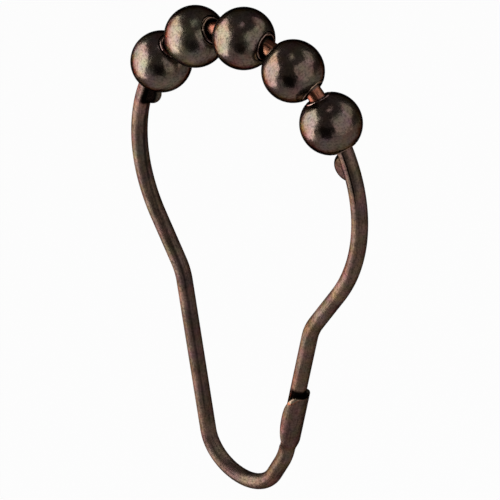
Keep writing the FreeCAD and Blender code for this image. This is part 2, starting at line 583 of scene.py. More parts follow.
@dataclass
class Run:
    """One straight or bent stretch of the wire's centre line."""

    start: Vector
    heading: float
    length: float
    radius: float = 0.0
    turn: float = 0.0

    def centre(self) -> Vector:
        """Centre of the bend."""
        side = math.copysign(90.0, self.turn)
        return self.start + direction(self.heading + side) * self.radius

    def end(self) -> tuple[Vector, float]:
        """Point and heading at the end of the run.

        Returns:
            The point, and the heading in degrees.
        """
        if not self.radius:
            return self.start + direction(self.heading) * self.length, self.heading
        side = math.copysign(90.0, self.turn)
        heading = self.heading + self.turn
        return self.centre() - direction(heading + side) * self.radius, heading

    def nearest(self, place: Vector) -> tuple[float, Vector]:
        """Where a place lies on the run.

        Args:
            place: Any point.

        Returns:
            How far along it lies, and the nearest point of the centre line.
        """
        flat = Vector((place.x, 0.0, place.z))
        if not self.radius:
            ahead = direction(self.heading)
            along = min(self.length, max(0.0, (flat - self.start).dot(ahead)))
            foot = self.start + ahead * along
            return along, foot
        side = math.copysign(1.0, self.turn)
        spoke = flat - self.centre()
        heading = math.degrees(math.atan2(-spoke.z, spoke.x)) + side * 90.0
        turned = (side * (heading - self.heading) + 180.0) % 360.0 - 180.0
        turned = min(abs(self.turn), max(0.0, turned))
        heading = self.heading + side * turned
        foot = self.centre() - direction(heading + side * 90.0) * self.radius
        along = self.length * turned / abs(self.turn)
        return along, foot


@dataclass
class LoopLine:
    """Centre line of the hook, from the same sizes as the solid."""

    wire_radius: float = 1.15 * MM
    crown_radius: float = 15.9 * MM
    crown_half_angle: float = 43.0
    flank_radius: float = 25.4 * MM
    shoulder_lean: float = 29.6
    shoulder_length: float = 7.3 * MM
    neck_radius: float = 9.0 * MM
    leg_lean: float = 10.1
    leg_length: float = 24.7 * MM
    rise_radius: float = 5.8 * MM
    root_radius: float = 12.0 * MM
    root_height: float = 3.5 * MM
    root_offset: float = 0.2 * MM
    runout_length: float = 2.1 * MM
    channel_length: float = 8.8 * MM
    tip_gap: float = 0.8 * MM
    free: list = field(default_factory=list)
    fixed: list = field(default_factory=list)

    def __post_init__(self) -> None:
        """Work out both sides from the crown down."""
        self._half(self.free, Side.FREE)
        self._half(self.fixed, Side.FIXED)
        leg_start = self.length(self.free)
        self.closed_end = leg_start + self.leg_length - self.root_height - self.runout_length
        self.channel_top = self.closed_end - self.channel_length
        self.root_station = self.closed_end + self.runout_length
        self.leg_start = leg_start
        self.leg_point, _ = self.free[-1].end()
        self._straight(self.free, self.closed_end - self.tip_gap - leg_start)
        self._straight(self.fixed, self.leg_length)
        leg_end, _ = self.fixed[-1].end()
        self.seat_radius = -leg_end.x / math.cos(math.radians(self.leg_lean))
        self._bend(self.fixed, self.seat_radius, self.leg_lean - 90)
        self._rise()

    def _half(self, runs: list, side: Side) -> None:
        """Side of the loop from the top of the crown to the leg.

        Args:
            runs: The list that takes the runs.
            side: Which side of the loop it is.
        """
        sign = side.value
        top = Vector((0.0, 0.0, self.crown_radius))
        heading = 0.0 if side is Side.FREE else 180.0
        length = self.crown_radius * math.radians(self.crown_half_angle)
        turn = sign * self.crown_half_angle
        runs.append(Run(top, heading, length, self.crown_radius, turn))
        lean = 90 + self.shoulder_lean - self.crown_half_angle
        self._bend(runs, self.flank_radius, sign * lean)
        self._straight(runs, self.shoulder_length)
        self._bend(runs, self.neck_radius, sign * (self.leg_lean - self.shoulder_lean))

    @staticmethod
    def _straight(runs: list, length: float) -> None:
        """Go straight on."""
        start, heading = runs[-1].end()
        runs.append(Run(start, heading, length))

    @staticmethod
    def _bend(runs: list, radius: float, turn: float) -> None:
        """Turn by degrees, clockwise where positive."""
        start, heading = runs[-1].end()
        runs.append(Run(start, heading, radius * math.radians(abs(turn)), radius, turn))

    def _rise(self) -> None:
        """Bend the wire up from the seat and join it to the root of the catch."""
        seat_end, _ = self.fixed[-1].end()
        line_point, inward = self.leg_frame(self.root_station)
        rise_centre = seat_end + Vector((0.0, 0.0, self.rise_radius))
        root_centre = line_point + inward * (self.root_radius - self.root_offset)
        span = root_centre - rise_centre
        growth = self.root_radius - self.rise_radius
        tangent = math.sqrt(span.length**2 - growth**2)
        swing = math.degrees(math.atan2(growth, tangent))
        angle = math.degrees(math.atan2(span.z, span.x)) - swing
        self._bend(self.fixed, self.rise_radius, -angle)
        self._straight(self.fixed, tangent)
        self._bend(self.fixed, self.root_radius, angle - (90 - self.leg_lean))

    @staticmethod
    def length(runs: list) -> float:
        """Length of a row of runs."""
        return sum(run.length for run in runs)

    def leg_frame(self, station: float) -> tuple[Vector, Vector]:
        """Point of the free leg's line at a station, and the way into the loop."""
        along = direction(90 + self.leg_lean)
        return self.leg_point + along * (station - self.leg_start), direction(180 + self.leg_lean)

    def on_leg(self, place: Vector) -> tuple[float, float]:
        """Where a place lies beside the free leg's line.

        Args:
            place: Any point.

        Returns:
            Its distance along the wire from the crown's top, and its depth
            into the loop from the line.
        """
        point, inward = self.leg_frame(self.leg_start)
        away = place - point
        return self.leg_start + away.dot(direction(90 + self.leg_lean)), away.dot(inward)

    def crown_point(self, station: float) -> tuple[Vector, Vector]:
        """Point and tangent on the upper loop.

        Args:
            station: Distance from the top of the crown, positive towards +X.

        Returns:
            The point and the direction of rising station there.
        """
        runs = self.free if station >= 0 else self.fixed
        left = abs(station)
        for run in runs:
            if left <= run.length:
                part = Run(run.start, run.heading, left, run.radius, run.turn * left / run.length)
                point, heading = part.end()
                sign = 1.0 if station >= 0 else -1.0
                return point, direction(heading) * sign
            left -= run.length
        raise ValueError("station is beyond the loop")

    def follow(self, place: Vector) -> tuple[float, Vector]:
        """Where a place lies along the wire.

        Args:
            place: A point on or near the wire's surface.

        Returns:
            Signed distance along the wire from the crown's top, and the
            nearest point of the centre line.
        """
        found = []
        for sign, runs in ((1.0, self.free), (-1.0, self.fixed)):
            before = 0.0
            for run in runs:
                along, foot = run.nearest(place)
                found.append(((place - foot).length, sign * (before + along), foot))
                before += run.length
        _, station, foot = min(found, key=lambda item: item[0])
        return station, foot


@dataclass
class BallRow:
    """Sizes of a ball and the places of the balls along the crown."""

    crown_radius: float
    count: int = 5
    ball_radius: float = 4.25 * MM
    bore_radius: float = 1.46 * MM
    rim_tube: float = 0.21 * MM
    rim_sink: float = 0.25 * MM
    ball_gap: float = 0.11 * MM
    row_slack: float = 0.25 * MM
    row_shift: float = -0.97 * MM

    def __post_init__(self) -> None:
        """Work out the rim's place on the ball."""
        self.rim_radius = self.bore_radius + self.rim_tube
        self.rim_height = math.sqrt(self.ball_radius**2 - self.rim_radius**2) - self.rim_sink

    def half_ball(self) -> float:
        """Length of crown that half a ball covers."""
        share = (self.rim_height + self.rim_tube) / self.crown_radius
        return self.crown_radius * math.asin(share)

    def stations(self) -> list[float]:
        """Places of the balls along the crown, from the -X side.

        Returns:
            Distances from the top of the crown, positive towards +X.
        """
        crown = self.crown_radius
        inner = math.sqrt(crown**2 - self.rim_height**2) - self.rim_radius
        reach = math.hypot(inner, self.rim_height)
        apart = math.asin((self.rim_tube + self.ball_gap / 2) / reach)
        pitch = 2 * crown * (math.atan2(self.rim_height, inner) + apart)
        middle = self.count // 2
        stations = [self.row_shift + (i - middle) * pitch for i in range(self.count)]
        return [s - self.row_slack if i < middle else s for i, s in enumerate(stations)]


# The wire hook


@dataclass(frozen=True)
class Ear:
    """One ear: its radius, its play beside the outermost ball and its painted shade."""

    name: str
    side: Side
    radius: float
    play: float
    # Painted shade: how dark the face is, and where on the ear the shade starts.
    face_shade: float
    shade_start: Fade

    def station(self, row: BallRow) -> float:
        """Distance of the ear's middle from the crown's top."""
        last = row.stations()[-1 if self.side is Side.FREE else 0]
        return last + self.side.value * (row.half_ball() + self.play + self.radius)


@dataclass
class WireHook:
    """The spring wire: loop, rounded free tip, pressed ears and rolled catch."""

    line: LoopLine
    row: BallRow
    finish: BronzeFinish = WIRE_BRONZE
    sheet_thickness: float = 0.5 * MM
    catch_clearance: float = 0.05 * MM
    lip_reach: float = 0.8 * MM
    lip_radius: float = 9.2 * MM
    lip_centre: float = 3.9 * MM
    corner_radius: float = 0.5 * MM
    tip_round: float = 0.45 * MM
    ear_thickness: float = 1.4 * MM
    ear_rise: float = 1.45 * MM
    ears: tuple = (
        # The last two values give each ear's painted shade.
        Ear("left_ear", Side.FIXED, 1.85 * MM, 0.3 * MM, 1.0, Fade(0.0, 0.7 * MM)),
        Ear("right_ear", Side.FREE, 2.15 * MM, 0.48 * MM, 0.53, Fade(0.15 * MM, 0.55 * MM)),
    )
    outer_spread: float = 120.0
    edge_spread: float = 26.0
    face_steps: int = 24
    edge_steps: int = 4
    tip_steps: int = 5
    runout_steps: int = 10
    channel_steps: int = 20
    corner_steps: int = 6
    ear_rings: int = 6
    ear_edge_steps: int = 12
    ear_turn_steps: int = 36
    bend_step: float = 0.45 * MM
    sharp_angle: float = 40.0

    def build(self) -> bpy.types.Object:
        """Model the hook, dress it and put it on its body.

        Returns:
            The finished piece.
        """
        hook = self._model_wire()
        for ear in self.ears:
            self._fuse(hook, self._model_ear(ear))
        shade(hook, self.sharp_angle)
        WireMarks(self).store(hook)
        hook.data.materials.clear()
        hook.data.materials.append(self.finish.material())
        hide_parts("wire_hook")
        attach(hook, Body.HOOK.value)
        return hook

    def channel_middle(self) -> float:
        """Radius of the middle of the rolled sheet."""
        return self.line.wire_radius + self.catch_clearance + self.sheet_thickness / 2

    def lip_edge(self, station: float) -> float:
        """How far the leaf-shaped wall stands past the wire's axis.

        Args:
            station: Distance from the crown's top along the free side.

        Returns:
            The length past the axis, along the middle of the sheet.
        """
        station = min(station, self.line.closed_end)
        off_centre = self.line.closed_end - self.lip_centre - station
        drop = self.lip_radius - math.sqrt(self.lip_radius**2 - off_centre**2)
        below_top = min(max(station - self.line.channel_top, 0.0), self.corner_radius)
        corner = self.corner_radius - below_top
        corner_drop = self.corner_radius - math.sqrt(self.corner_radius**2 - corner**2)
        return self.lip_reach - drop - corner_drop

    def ear_frame(self, ear: Ear) -> tuple[Vector, Vector, Vector, Vector]:
        """Where an ear sits.

        Args:
            ear: The ear.

        Returns:
            The wire's point and tangent under it, the way to the rod and the
            centre of the ear's disc.
        """
        point, tangent = self.line.crown_point(ear.station(self.row))
        inward = Y_AXIS.cross(tangent)
        centre = point + inward * (self.line.wire_radius + self.ear_rise - ear.radius)
        return point, tangent, inward, centre

    def _section(self, station: float, blend: float) -> list[Vector]:
        """Outline of the sheet at a station.

        Args:
            station: Distance from the crown's top along the free side.
            blend: 0 where it is rolled and 1 where it is round wire.

        Returns:
            The points of one ring, from the near free edge over the outside.
        """
        origin, inward = self.line.leg_frame(station)
        middle = self.channel_middle()
        half = middle * math.pi / 2 + self.lip_edge(station)
        ring = []
        for along, out, angle in self._ring_plan(half, self.sheet_thickness / 2):
            flat, side = self._rolled(along, out, middle)
            turn = math.radians(angle)
            plain = -self.line.root_offset - self.line.wire_radius * math.cos(turn)
            plain_side = self.line.wire_radius * math.sin(turn)
            depth = (1 - blend) * flat + blend * plain
            across = (1 - blend) * side + blend * plain_side
            ring.append(origin + inward * depth + Y_AXIS * across)
        return ring

    def _ring_plan(self, half: float, skin: float) -> list[tuple[float, float, float]]:
        """Points of a ring as (along the sheet, off its middle, angle when round).

        Args:
            half: Half the width of the sheet along its middle.
            skin: Half its thickness.

        Returns:
            The outer face, one rounded edge, the inner face and the other edge.
        """
        outer, edge = self.outer_spread, self.edge_spread
        inner = 180.0 - outer - edge
        shares = [2 * i / self.face_steps - 1 for i in range(self.face_steps + 1)]
        rounds = [i / self.edge_steps for i in range(1, self.edge_steps)]
        plan = [(share * half, skin, share * outer) for share in shares]
        for part in rounds:
            turn = math.pi * part
            along, out = half + skin * math.sin(turn), skin * math.cos(turn)
            plan.append((along, out, outer + edge * part))
        plan += [(-share * half, -skin, 180.0 + share * inner) for share in shares]
        for part in rounds:
            turn = math.pi * part
            along, out = -half - skin * math.sin(turn), -skin * math.cos(turn)
            plan.append((along, out, 180.0 + inner + edge * part))
        return plan

    def _spokes(self) -> list[float]:
        """Angles of a ring's points where the wire is round."""
        return [angle for _, _, angle in self._ring_plan(1.0, 1.0)]

    @staticmethod
    def _rolled(along: float, out: float, middle: float) -> tuple[float, float]:
        """Place on the rolled sheet.

        Args:
            along: Distance along the middle of the sheet.
            out: Distance out of that middle.
            middle: Radius of that middle.

        Returns:
            Its depth into the loop and its distance sideways, from the wire's
            axis.
        """
        turn = along / middle
        radius = middle + out
        return -radius * math.cos(turn), radius * math.sin(turn)

    def _round_ring(self, centre: Vector, outward: Vector, radius: float) -> list[Vector]:
        """Round ring with the same spokes as the sheet's outline.

        Args:
            centre: The ring's centre.
            outward: The way out of the loop, where the first spokes lie.
            radius: The ring's radius.

        Returns:
            One place for each spoke.
        """
        ring = []
        for angle in self._spokes():
            turn = math.radians(angle)
            ring.append(centre + (outward * math.cos(turn) + Y_AXIS * math.sin(turn)) * radius)
        return ring

    def _model_wire(self) -> bpy.types.Object:
        """Sweep a ring down both sides of the loop and roll the catch.

        Returns:
            The wire without its ears.
        """
        radius = self.line.wire_radius
        bench = Bench("spring_wire_hook")
        top = Vector((0.0, 0.0, self.line.crown_radius))
        bench.start_ring(len(self._spokes()), radius, top, (0.0, math.pi / 2, 0.0))
        bench.number_spokes()
        bench.place_ring(self._round_ring(top, Vector((0.0, 0.0, 1.0)), radius))
        self._sweep(bench, self.line.fixed)
        self._roll_catch(bench)
        near_zero = 0.0001 * MM
        bench.select(lambda place: abs(place.x) < near_zero and place.z > radius)
        self._sweep(bench, self.line.free)
        self._round_tip(bench)
        return bench.finish()

    def _sweep(self, bench: Bench, runs: Sequence[Run]) -> None:
        """Carry the selected ring along the runs.

        Args:
            bench: The bench, with the ring selected.
            runs: The runs, in order.
        """
        for run in runs:
            if run.radius:
                axis = Y_AXIS * math.copysign(1.0, run.turn)
                steps = max(4, math.ceil(run.length / self.bend_step))
                bench.spin(run.centre(), axis, math.radians(abs(run.turn)), steps)
            else:
                pieces = max(1, round(run.length / self.bend_step))
                for _ in range(pieces):
                    bench.draw(direction(run.heading) * (run.length / pieces))

    def _round_tip(self, bench: Bench) -> None:
        """Round the edge of the cut end and close it.

        Args:
            bench: The bench, with the leg's last ring selected.
        """
        end, heading = self.line.free[-1].end()
        _, inward = self.line.leg_frame(self.line.leg_start)
        for i in range(self.tip_steps + 1):
            turn = math.pi / 2 * i / self.tip_steps
            inset = self.tip_round * (1 - math.cos(turn))
            centre = end - direction(heading) * (self.tip_round * (1 - math.sin(turn)))
            ring = self._round_ring(centre, -inward, self.line.wire_radius - inset)
            if i == 0:
                bench.place_ring(ring)
            else:
                bench.move_ring(ring)
        bpy.ops.mesh.edge_face_add()

    def _roll_catch(self, bench: Bench) -> None:
        """Open the round root into the leaf-walled channel and close its top edge.

        Args:
            bench: The bench, with the root's last ring selected.
        """
        line = self.line
        bench.place_ring(self._section(line.root_station, 1.0))
        for i in range(1, self.runout_steps + 1):
            share = i / self.runout_steps
            station = line.root_station - share * line.runout_length
            bench.move_ring(self._section(station, Fade(0.0, 1.0).fall(share)))
        corner_start = line.channel_top + self.corner_radius
        for i in range(1, self.channel_steps + 1):
            share = i / self.channel_steps
            station = line.closed_end + share * (corner_start - line.closed_end)
            bench.move_ring(self._section(station, 0.0))
        for i in range(1, self.corner_steps + 1):
            turn = math.pi / 2 * i / self.corner_steps
            station = corner_start - self.corner_radius * math.sin(turn)
            bench.move_ring(self._section(station, 0.0))
        bpy.ops.mesh.edge_face_add()

    def _model_ear(self, ear: Ear) -> bpy.types.Object:
        """Rounded half disc that is pressed out of the wire towards the rod.

        Args:
            ear: The ear.

        Returns:
            The ear as a solid of its own.
        """
        _, tangent, _, centre = self.ear_frame(ear)
        half = self.ear_thickness / 2
        flat = tangent * (ear.radius - half)
        bench = Bench(ear.name)
        bench.start_point(centre - Y_AXIS * half)
        for _ in range(self.ear_rings):
            bench.draw(flat / self.ear_rings)
        bench.spin(centre + flat, tangent.cross(Y_AXIS), math.pi, self.ear_edge_steps)
        for _ in range(self.ear_rings):
            bench.draw(flat / -self.ear_rings)
        bpy.ops.mesh.select_all(action="SELECT")
        bench.spin(centre, Y_AXIS, math.pi, self.ear_turn_steps)
        bench.cap()
        return bench.finish()

    @staticmethod
    def _fuse(base: bpy.types.Object, extra: bpy.types.Object) -> None:
        """Join a second solid to the first and remove it.

        Args:
            base: The solid that is kept.
            extra: The solid that is joined to it.
        """
        pick(base)
        union = base.modifiers.new("pressed_out", "BOOLEAN")
        union.operation = "UNION"
        union.solver = "EXACT"
        union.object = extra
        bpy.ops.object.modifier_apply(modifier=union.name)
        bpy.data.objects.remove(extra)


@dataclass
class WireMarks:
    """Worn places, painted highlight and painted shade of the wire, stored at its mesh's points.

    Distances along the wire are measured from the crown's top, and are
    negative on the side of the catch's root. Widths across it are in wire
    radii. A painted shade of 1 is black, and a wear of 1 is bare metal.
    """

    hook: WireHook
    # The camera's sideways direction in X and Y, which places painted shade across the wire.
    view_side: tuple[float, float] = (0.8, 0.6)
    grain_across: float = 10.0
    grain_along: float = 0.35
    row_middle: float = -1.0 * MM
    # The wire inside the balls and beside their rims gets painted shade.
    row_cover: Fade = Fade(20.5 * MM, 21.5 * MM)
    gap_cover: Fade = Fade(0.7 * MM, 1.3 * MM)
    gap_wear: Fade = Fade(0.45 * MM, 1.0 * MM)
    # A highlight is painted on the lips at the catch's top corner.
    corner_highlight: Fade = Fade(0.5 * MM, 2.2 * MM)
    corner_highlight_value: float = 2.0
    on_wire: float = 1.03
    off_wire: float = 1.02
    # Painted shade on the ears, darker round their rims.
    ear_spread: Fade = Fade(1.1, 1.5)
    ear_rim: Fade = Fade(-0.62 * MM, -0.34 * MM)
    ear_rim_shade: float = 0.95
    # Painted dark reflection down the free flank, placed across the wire as the camera sees it.
    dark_reflection_from: float = 20.0 * MM
    dark_reflection_side: float = 0.2
    dark_reflection_middle: float = -0.27
    dark_reflection_width: Fade = Fade(0.02, 0.17)
    dark_reflection_end: Fade = Fade(26.0 * MM, 32.0 * MM)
    # Painted shade and a painted dark reflection stripe on the fixed leg, placed across the wire
    # as the camera sees it.
    leg_start: Fade = Fade(22.0 * MM, 25.0 * MM)
    leg_fade: Fade = Fade(34.0 * MM, 50.0 * MM)
    leg_loss: float = 0.12
    leg_end: Fade = Fade(74.0 * MM, 82.0 * MM)
    inner_width: Fade = Fade(0.16, 0.54)
    inner_shift: Fade = Fade(40.0 * MM, 52.0 * MM)
    inner_travel: float = 0.18
    inner_shade: float = 0.36
    stripe_middle: float = 0.62
    stripe_shift: Fade = Fade(30.0 * MM, 56.0 * MM)
    stripe_travel: float = 0.5
    stripe_width: Fade = Fade(0.06, 0.32)
    stripe_shade: float = 0.62
    # Painted shade at the catch's mouth and a painted dark reflection on its cut edge.
    mouth: Fade = Fade(0.75 * MM, 1.15 * MM)
    mouth_side: Fade = Fade(0.78, 1.15)
    mouth_lean: float = 0.75
    mouth_loss: float = 0.4
    catch_reach: float = 2.0
    cut_edge: Fade = Fade(0.01 * MM, 0.12 * MM)
    wall_start: Fade = Fade(0.0, 0.4 * MM)
    wall_darkening: float = 0.34
    skin_reach: float = 0.6
    top_margin: float = 0.01 * MM
    lip_curl: Fade = Fade(-0.75 * MM, -0.15 * MM)
    lip_loss: float = 0.6

    def store(self, piece: bpy.types.Object) -> None:
        """Give the mesh its worn places, painted highlight, painted shade and its drawing
        direction.

        Args:
            piece: The hook's finished mesh.
        """
        line = self.hook.line
        wear_and_highlights, painted_shades, grains = [], [], []
        for vertex in piece.data.vertices:
            along, foot = line.follow(vertex.co)
            off = (vertex.co - foot) / line.wire_radius
            wear_and_highlights.append(self._wear_and_highlight(vertex.co, along))
            painted_shades.append(self._painted_black(vertex.co, along, off))
            depth = math.hypot(off.x, off.z)
            across = self.grain_across
            grains.append((off.y * across, depth * across, along / MM * self.grain_along))
        carry(piece, "wear_and_highlight", "FLOAT", wear_and_highlights)
        carry(piece, "painted_shade", "FLOAT", painted_shades)
        carry(piece, "grain", "FLOAT_VECTOR", grains)

    def _wear_and_highlight(self, place: Vector, along: float) -> float:
        """How worn a place is, with a painted highlight on the catch's top corner.

        Args:
            place: The place on the surface.
            along: Its signed distance along the wire.

        Returns:
            1 where the film is gone and 2 where a highlight is painted on the edge.
        """
        bare = self.gap_wear.fall(self._off_gap(along))
        if along <= 0:
            return bare
        # Painted highlight on the lips near the catch's top corner.
        corner = self.corner_highlight.fall(along - self.hook.line.channel_top)
        return max(bare, self.corner_highlight_value * corner * self._lip(place))

    def _off_gap(self, along: float) -> float:
        """Distance from the gaps between the balls.

        Args:
            along: A signed distance along the wire.

        Returns:
            How far away the nearest gap is.
        """
        row = self.hook.row.stations()
        middles = [(first + second) / 2 for first, second in zip(row, row[1:])]
        return min(abs(along - middle) for middle in middles)

    def _painted_black(self, place: Vector, along: float, off: Vector) -> float:
        """How much painted shade and painted dark reflection blacken a place of the hook.

        Args:
            place: The place on the surface.
            along: Its signed distance along the wire.
            off: Its offset from the centre line, in wire radii.

        Returns:
            The share of painted black, up to 1.
        """
        # Painted shade on the wire inside the balls and next to their rims, none at the middle of
        # each gap.
        covered = self.row_cover.fall(abs(along - self.row_middle))
        covered *= self.gap_cover.rise(self._off_gap(along))
        side = off.x * self.view_side[0] + off.y * self.view_side[1]
        # The painted dark line on the free flank, and the fixed leg's painted shade and stripe.
        if along > 0:
            drawn = self._dark_reflection_line(along, side) if off.y <= self.dark_reflection_side else 0.0
        else:
            drawn = self._leg_shade(-along, side)
        return max(covered, self._ear_shade(place, off), drawn, self._catch_shade(place, along, off))

    def _ear_shade(self, place: Vector, off: Vector) -> float:
        """Painted shade on the two ears, darker round their rims.

        Args:
            place: The place on the surface.
            off: The place's offset from the centre line, in wire radii.

        Returns:
            The share of painted shade.
        """
        found = 0.0
        for ear in self.hook.ears:
            point, _, inward, centre = self.hook.ear_frame(ear)
            away = place - point
            near = self.ear_spread.fall(away.length / ear.radius)
            raised = ear.shade_start.rise(away.dot(inward))
            from_middle = math.hypot(place.x - centre.x, place.z - centre.z)
            outside = off.length > self.off_wire
            rim = self.ear_rim.rise(from_middle - ear.radius) if outside else 0.0
            found = max(found, near * raised * max(ear.face_shade, rim * self.ear_rim_shade))
        return found

    def _dark_reflection_line(self, along: float, side: float) -> float:
        """Painted dark reflection: a dark line down the flank by the right ear.

        Args:
            along: The place's signed distance along the wire.
            side: How far across the wire the place lies as the camera sees
                it, from -1 to 1.

        Returns:
            The share of painted black.
        """
        if along < self.dark_reflection_from:
            return 0.0
        return self.dark_reflection_width.fall(abs(side - self.dark_reflection_middle)) * self.dark_reflection_end.fall(along)

    def _leg_shade(self, down: float, side: float) -> float:
        """Painted shade on the inner side of the fixed leg, and a stripe of painted dark
        reflection.

        Args:
            down: The distance down the wire from the crown's top.
            side: How far across the wire the place lies as the camera sees
                it, from -1 to 1.

        Returns:
            The share of painted black.
        """
        inner = self.inner_width.rise(side + self.inner_travel * self.inner_shift.rise(down))
        middle = self.stripe_middle - self.stripe_travel * self.stripe_shift.rise(down)
        stripe = self.stripe_width.fall(abs(side - middle))
        shown = self.leg_start.rise(down) * self.leg_end.fall(down)
        shown *= 1.0 - self.leg_loss * self.leg_fade.rise(down)
        return max(inner * self.inner_shade, stripe * self.stripe_shade) * shown

    def _catch_shade(self, place: Vector, along: float, off: Vector) -> float:
        """Painted shade round the mouth of the catch, a painted dark reflection on its cut top
        edge, and its walls darkened a little.

        Args:
            place: The place on the surface.
            along: Its signed distance along the wire.
            off: Its offset from the centre line, in wire radii.

        Returns:
            The share of painted black.
        """
        line = self.hook.line
        station, depth = line.on_leg(place)
        tip = line.closed_end - line.tip_gap
        # Painted shade on the wire just above the mouth, less on its lit side.
        if along > 0 and off.length < self.on_wire and station < tip:
            _, inward = line.leg_frame(line.leg_start)
            lit = self.mouth_side.rise(off.dot(inward) - off.y * self.mouth_lean)
            return (1.0 - self.mouth_loss * lit) * self.mouth.fall(line.channel_top - along)
        if math.hypot(depth, place.y) > self.catch_reach * line.wire_radius:
            return 0.0
        # Painted dark reflection on the cut top edge; the walls are darkened a little, less on the
        # lips.
        cut = self.cut_edge.fall(abs(line.channel_top - station))
        walls = self.wall_start.rise(station - line.channel_top)
        walls *= Fade(line.closed_end, line.root_station).fall(station)
        return (1.0 - self.lip_loss * self._lip(place)) * max(cut, walls * self.wall_darkening)

    def _lip(self, place: Vector) -> float:
        """How near a place is to the curled lips of the catch.

        Args:
            place: The place on the surface.

        Returns:
            1 on the lips, less on the walls and 0 elsewhere.
        """
        line = self.hook.line
        station, depth = line.on_leg(place)
        middle = self.hook.channel_middle()
        off_sheet = abs(math.hypot(depth, place.y) - middle)
        in_length = line.channel_top - self.top_margin < station < line.root_station
        if not in_length or off_sheet > self.hook.sheet_thickness * self.skin_reach:
            return 0.0
        past = middle * (math.atan2(abs(place.y), -depth) - math.pi / 2)
        return self.lip_curl.rise(past - self.hook.lip_edge(station))


# The roller balls


@dataclass
class RollerBalls:
    """Five hollow balls, turned once as a profile and copied along the crown."""

    line: LoopLine
    row: BallRow
    finish: BronzeFinish = BALL_BRONZE
    shell_thickness: float = 0.45 * MM
    groove_width: float = 0.25 * MM
    groove_depth: float = 0.2 * MM
    foot_angle: float = -30.0
    own_turn: float = 77.0
    sides: int = 112
    outer_steps: int = 40
    groove_steps: int = 8
    rim_steps: int = 14
    inner_steps: int = 24
    mirror_merge: float = 0.001 * MM
    sharp_angle: float = 50.0
    crest_spread: Fade = Fade(1.05, 1.5)
    crest_wear: float = 0.7
    sunk_depth: Fade = Fade(0.03 * MM, 0.15 * MM)
    hole_spread: Fade = Fade(0.0, 0.12 * MM)
    grain_along: float = 5.0
    grain_across: float = 1.2

    def build(self) -> list[bpy.types.Object]:
        """Model the balls, dress them and put each on its body.

        Returns:
            The finished pieces, from the -X side.
        """
        pattern = self._model_ball()
        shade(pattern, self.sharp_angle)
        self._mark(pattern)
        pattern.data.materials.clear()
        pattern.data.materials.append(self.finish.material())
        balls = []
        for number, station in enumerate(self.row.stations(), start=1):
            ball = pattern
            if number < self.row.count:
                ball = pattern.copy()
                ball.data = pattern.data.copy()
                bpy.context.scene.collection.objects.link(ball)
            self._seat(ball, number, station)
            balls.append(ball)
        return balls

    def _seat(self, ball: bpy.types.Object, number: int, station: float) -> None:
        """Put one ball on the wire.

        Args:
            ball: The piece, still about Z at the origin.
            number: Its number from the -X side.
            station: Its place along the crown.
        """
        ball.name = f"roller_{number}_shell"
        ball.data.name = ball.name
        back, _ = self.line.crown_point(station - self.row.rim_height)
        front, _ = self.line.crown_point(station + self.row.rim_height)
        axis = (front - back).normalized()
        turn = axis.to_track_quat("Z", "Y").to_matrix().to_4x4()
        own_turn = Matrix.Rotation(math.radians(self.own_turn * number), 4, "Z")
        ball.data.transform(Matrix.Translation((back + front) / 2) @ turn @ own_turn)
        ball.data.update()
        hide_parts(f"roller_ball_{number}")
        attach(ball, Body.ROLLER.value.format(number=number))

    def _model_ball(self) -> bpy.types.Object:
        """Draw half of the wall's profile, mirror it and spin it about Z.

        Returns:
            One ball at the origin, with its bore along Z.
        """
        bench = Bench("roller_shell")
        row = self.row
        flat = Y_AXIS * -1
        groove_end = row.rim_radius + row.rim_tube + self.groove_width
        shoulder = math.sqrt(row.ball_radius**2 - groove_end**2)
        foot_turn = math.radians(self.foot_angle)
        foot_radius = row.rim_radius + row.rim_tube * math.cos(foot_turn)
        foot_height = row.rim_height + row.rim_tube * math.sin(foot_turn)
        inner_radius = row.ball_radius - self.shell_thickness
        bore_edge = math.sqrt(inner_radius**2 - row.bore_radius**2)
        bench.start_point(Vector((row.ball_radius, 0.0, 0.0)))
        bench.spin(Vector(), flat, math.atan2(shoulder, groove_end), self.outer_steps)
        groove = Vector((groove_end, 0.0, shoulder))
        self._draw_groove(bench, groove, Vector((foot_radius, 0.0, foot_height)))
        rim = Vector((row.rim_radius, 0.0, row.rim_height))
        bench.spin(rim, flat, math.pi - foot_turn, self.rim_steps)
        bench.draw(Vector((0.0, 0.0, bore_edge - row.rim_height)))
        swing = math.atan2(bore_edge, row.bore_radius)
        bench.spin(Vector(), flat * -1, swing, self.inner_steps)
        self._mirror_profile()
        bench.spin(Vector(), Vector((0.0, 0.0, 1.0)), 2 * math.pi, self.sides)
        return bench.finish()

    def _draw_groove(self, bench: Bench, groove: Vector, foot: Vector) -> None:
        """Draw the round-bottomed groove between the sphere and the rim.

        Args:
            bench: The bench, with the profile's last point selected.
            groove: Where the groove starts on the sphere.
            foot: Where it ends on the rolled rim.
        """
        row = self.row
        middle = row.rim_radius + row.rim_tube + self.groove_width / 2
        floor = math.sqrt(row.ball_radius**2 - middle**2) - self.groove_depth
        low = Vector((middle, 0.0, floor))
        centre = circle_centre(groove, low, foot)
        start, end = groove - centre, foot - centre
        sweep = math.atan2(end.z, end.x) - math.atan2(start.z, start.x)
        sweep = (sweep + math.pi) % (2 * math.pi) - math.pi
        through = low - centre
        if start.cross(through).y * start.cross(end).y < 0:
            sweep -= math.copysign(2 * math.pi, sweep)
        axis = Y_AXIS * -math.copysign(1.0, sweep)
        bench.spin(centre, axis, abs(sweep), self.groove_steps)

    def _mirror_profile(self) -> None:
        """Copy the half profile to the other side of the equator."""
        bpy.ops.mesh.select_all(action="SELECT")
        bpy.ops.mesh.duplicate_move()
        bpy.ops.transform.resize(value=(1.0, 1.0, -1.0), center_override=(0.0, 0.0, 0.0))
        bpy.ops.mesh.select_all(action="SELECT")
        bpy.ops.mesh.remove_doubles(threshold=self.mirror_merge)

